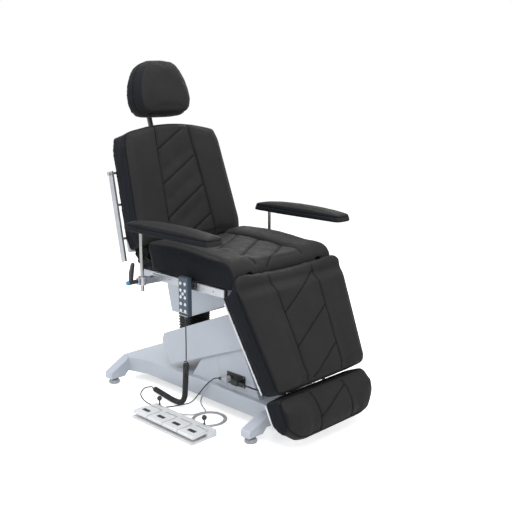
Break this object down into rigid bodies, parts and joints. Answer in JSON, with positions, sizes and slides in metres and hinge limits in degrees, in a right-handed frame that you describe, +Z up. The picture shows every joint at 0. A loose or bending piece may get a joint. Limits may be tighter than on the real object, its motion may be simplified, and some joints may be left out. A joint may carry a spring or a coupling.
{
  "type": "power procedure chair",
  "caption": "Powered examination and procedure chair: padded seat, reclining back with headrest, folding legrest with footrest, armrests, lift arm on a floor base, handset and foot control.",
  "frame": {"origin": "floor level, at the centre of the bounding box seen from above", "axes": "+X to the foot end, +Y to the sitter's left, +Z up"},
  "size_m": [1.2117, 0.92, 1.4995],
  "materials": {
    "painted_steel": "satin light blue-grey paint",
    "bright_steel": "bright steel",
    "dark_steel": "black painted steel",
    "light_panel": "light grey moulded panel",
    "black_rubber": "matt black",
    "grey_cable": "grey sheath",
    "charcoal_vinyl": "soft charcoal vinyl over foam",
    "black_plastic": "black moulded plastic",
    "slate_plastic": "slate blue-grey plastic",
    "pale_plastic": "pale grey plastic"
  },
  "bodies": {
    "base": {"base_frame": "painted_steel", "foot_glide_rear_right": "pale_plastic", "foot_glide_rear_left": "pale_plastic", "foot_glide_front_right": "pale_plastic", "foot_glide_front_left": "pale_plastic", "tower_frame": "dark_steel", "tower_rear_cover": "painted_steel", "tower_front_cover": "painted_steel", "lift_shaft": "bright_steel", "power_panel": "black_plastic", "mains_plug": "black_plastic", "handset_connector": "slate_plastic", "foot_control_base": "pale_plastic", "handset_cord_top": "black_rubber", "handset_cord_curl": "black_rubber", "handset_cord_low": "black_rubber", "foot_cable": "grey_cable", "mains_lead": "black_rubber", "wall_plug": "black_plastic"},
    "arm": {"arm_shell": "painted_steel", "arm_rear_shaft": "bright_steel"},
    "link": {"level_link": "dark_steel"},
    "actuator": {"lift_actuator": "dark_steel"},
    "rod": {"lift_rod": "bright_steel"},
    "carriage": {"bellows": "black_rubber", "carriage_yoke": "dark_steel", "upper_housing": "painted_steel", "seat_frame": "painted_steel", "seat_rail_right": "bright_steel", "seat_rail_left": "bright_steel", "seat_cushion": "charcoal_vinyl", "hip_skirt": "charcoal_vinyl", "handset": "slate_plastic", "leg_hinge_shaft": "bright_steel", "back_hinge_shaft": "bright_steel"},
    "back": {"back_frame": "light_panel", "back_cushion": "charcoal_vinyl", "back_rail_right": "bright_steel", "back_rail_left": "bright_steel"},
    "head_stem": {"head_post": "dark_steel"},
    "head": {"head_bracket": "dark_steel", "headrest_cushion": "charcoal_vinyl"},
    "leg": {"leg_frame": "light_panel", "leg_cushion": "charcoal_vinyl"},
    "footrest": {"foot_frame": "bright_steel", "foot_cushion": "charcoal_vinyl"},
    "post_right": {"arm_post_right": "bright_steel"},
    "pad_right": {"arm_pad_right": "charcoal_vinyl"},
    "lever_right": {"clamp_lever_right": "black_plastic"},
    "post_left": {"arm_post_left": "bright_steel"},
    "pad_left": {"arm_pad_left": "charcoal_vinyl"},
    "lever_left": {"clamp_lever_left": "black_plastic"},
    "pedal_1": {"pedal_1": "pale_plastic"},
    "pedal_2": {"pedal_2": "pale_plastic"},
    "pedal_3": {"pedal_3": "pale_plastic"},
    "pedal_4": {"pedal_4": "pale_plastic"},
    "ball_rear": {"ball_lever_rear": "black_plastic"},
    "ball_front": {"ball_lever_front": "black_plastic"}
  },
  "joints": [
    {"name": "lift", "type": "hinge", "parent": "base", "child": "arm", "pos_m": [0.1123, 0, 0.375], "axis": [0, 1, 0], "range_deg": [0, 45], "deforming": ["bellows", "handset_cord_top", "handset_cord_curl"]},
    {"name": "carriage_level", "type": "hinge", "parent": "arm", "child": "carriage", "pos_m": [-0.26187, 0, 0.22001], "axis": [0, 1, 0], "range_deg": [-46, 1]},
    {"name": "link_swing", "type": "hinge", "parent": "base", "child": "link", "pos_m": [0.1123, 0, 0.315], "axis": [0, 1, 0], "range_deg": [-1, 46]},
    {"name": "actuator_swing", "type": "hinge", "parent": "base", "child": "actuator", "pos_m": [0.2388, 0, 0.175], "axis": [0, 1, 0], "range_deg": [-1, 15.5]},
    {"name": "rod_slide", "type": "slide", "parent": "actuator", "child": "rod", "axis": [-0.8995, 0, 0.437], "range_m": [-0.002, 0.081]},
    {"name": "back_recline", "type": "hinge", "parent": "carriage", "child": "back", "pos_m": [-0.2752, 0, 0.65], "axis": [0, -1, 0], "range_deg": [0, 65], "deforming": ["hip_skirt"]},
    {"name": "leg_raise", "type": "hinge", "parent": "carriage", "child": "leg", "pos_m": [0.2488, 0, 0.655], "axis": [0, -1, 0], "range_deg": [0, 65]},
    {"name": "foot_slide", "type": "slide", "parent": "leg", "child": "footrest", "axis": [0.4226, 0, -0.9063], "range_m": [0, 0.04]},
    {"name": "head_slide", "type": "slide", "parent": "back", "child": "head_stem", "axis": [-0.2924, 0, 0.9563], "range_m": [0, 0.09]},
    {"name": "head_tilt", "type": "hinge", "parent": "head_stem", "child": "head", "pos_m": [-0.58288, 0, 1.34857], "axis": [0, 1, 0], "range_deg": [-26, 12]},
    {"name": "arm_height_right", "type": "slide", "parent": "carriage", "child": "post_right", "axis": [0, 0, 1], "range_m": [-0.11, 0.02]},
    {"name": "arm_swing_right", "type": "hinge", "parent": "post_right", "child": "pad_right", "pos_m": [-0.1472, -0.383, 0.8], "axis": [0, 0, 1], "range_deg": [-90, 0]},
    {"name": "clamp_turn_right", "type": "hinge", "parent": "carriage", "child": "lever_right", "pos_m": [-0.1472, -0.43, 0.594], "axis": [0, 1, 0], "range_deg": [0, 90]},
    {"name": "arm_height_left", "type": "slide", "parent": "carriage", "child": "post_left", "axis": [0, 0, 1], "range_m": [-0.11, 0.02]},
    {"name": "arm_swing_left", "type": "hinge", "parent": "post_left", "child": "pad_left", "pos_m": [-0.1472, 0.383, 0.8], "axis": [0, 0, 1], "range_deg": [0, 90]},
    {"name": "clamp_turn_left", "type": "hinge", "parent": "carriage", "child": "lever_left", "pos_m": [-0.1472, 0.43, 0.594], "axis": [0, 1, 0], "range_deg": [0, 90]},
    {"name": "pedal_press_1", "type": "hinge", "parent": "base", "child": "pedal_1", "pos_m": [-0.10495, -0.363, 0.024], "axis": [1, 0, 0], "range_deg": [0, 7], "stiffness_Nm_per_rad": 3, "springref_deg": -3.44},
    {"name": "pedal_press_2", "type": "hinge", "parent": "base", "child": "pedal_2", "pos_m": [-0.00645, -0.363, 0.024], "axis": [1, 0, 0], "range_deg": [0, 7], "stiffness_Nm_per_rad": 3, "springref_deg": -3.44},
    {"name": "pedal_press_3", "type": "hinge", "parent": "base", "child": "pedal_3", "pos_m": [0.09205, -0.363, 0.024], "axis": [1, 0, 0], "range_deg": [0, 7], "stiffness_Nm_per_rad": 3, "springref_deg": -3.44},
    {"name": "pedal_press_4", "type": "hinge", "parent": "base", "child": "pedal_4", "pos_m": [0.19055, -0.363, 0.024], "axis": [1, 0, 0], "range_deg": [0, 7], "stiffness_Nm_per_rad": 3, "springref_deg": -3.44},
    {"name": "ball_tilt_rear", "type": "hinge", "parent": "base", "child": "ball_rear", "pos_m": [-0.1052, -0.342, 0.0433], "axis": [0, 1, 0], "range_deg": [-20, 20], "stiffness_Nm_per_rad": 0.4},
    {"name": "ball_tilt_front", "type": "hinge", "parent": "base", "child": "ball_front", "pos_m": [0.1858, -0.342, 0.0433], "axis": [0, 1, 0], "range_deg": [-20, 20], "stiffness_Nm_per_rad": 0.4}
  ],
  "couplings": [
    {"joint": "carriage_level", "follows": "lift", "ratio": -1},
    {"joint": "link_swing", "follows": "lift", "ratio": 1},
    {"joint": "actuator_swing", "follows": "lift", "ratio": 0.3174},
    {"joint": "rod_slide", "follows": "lift", "m_per_rad": 0.0997}
  ]
}
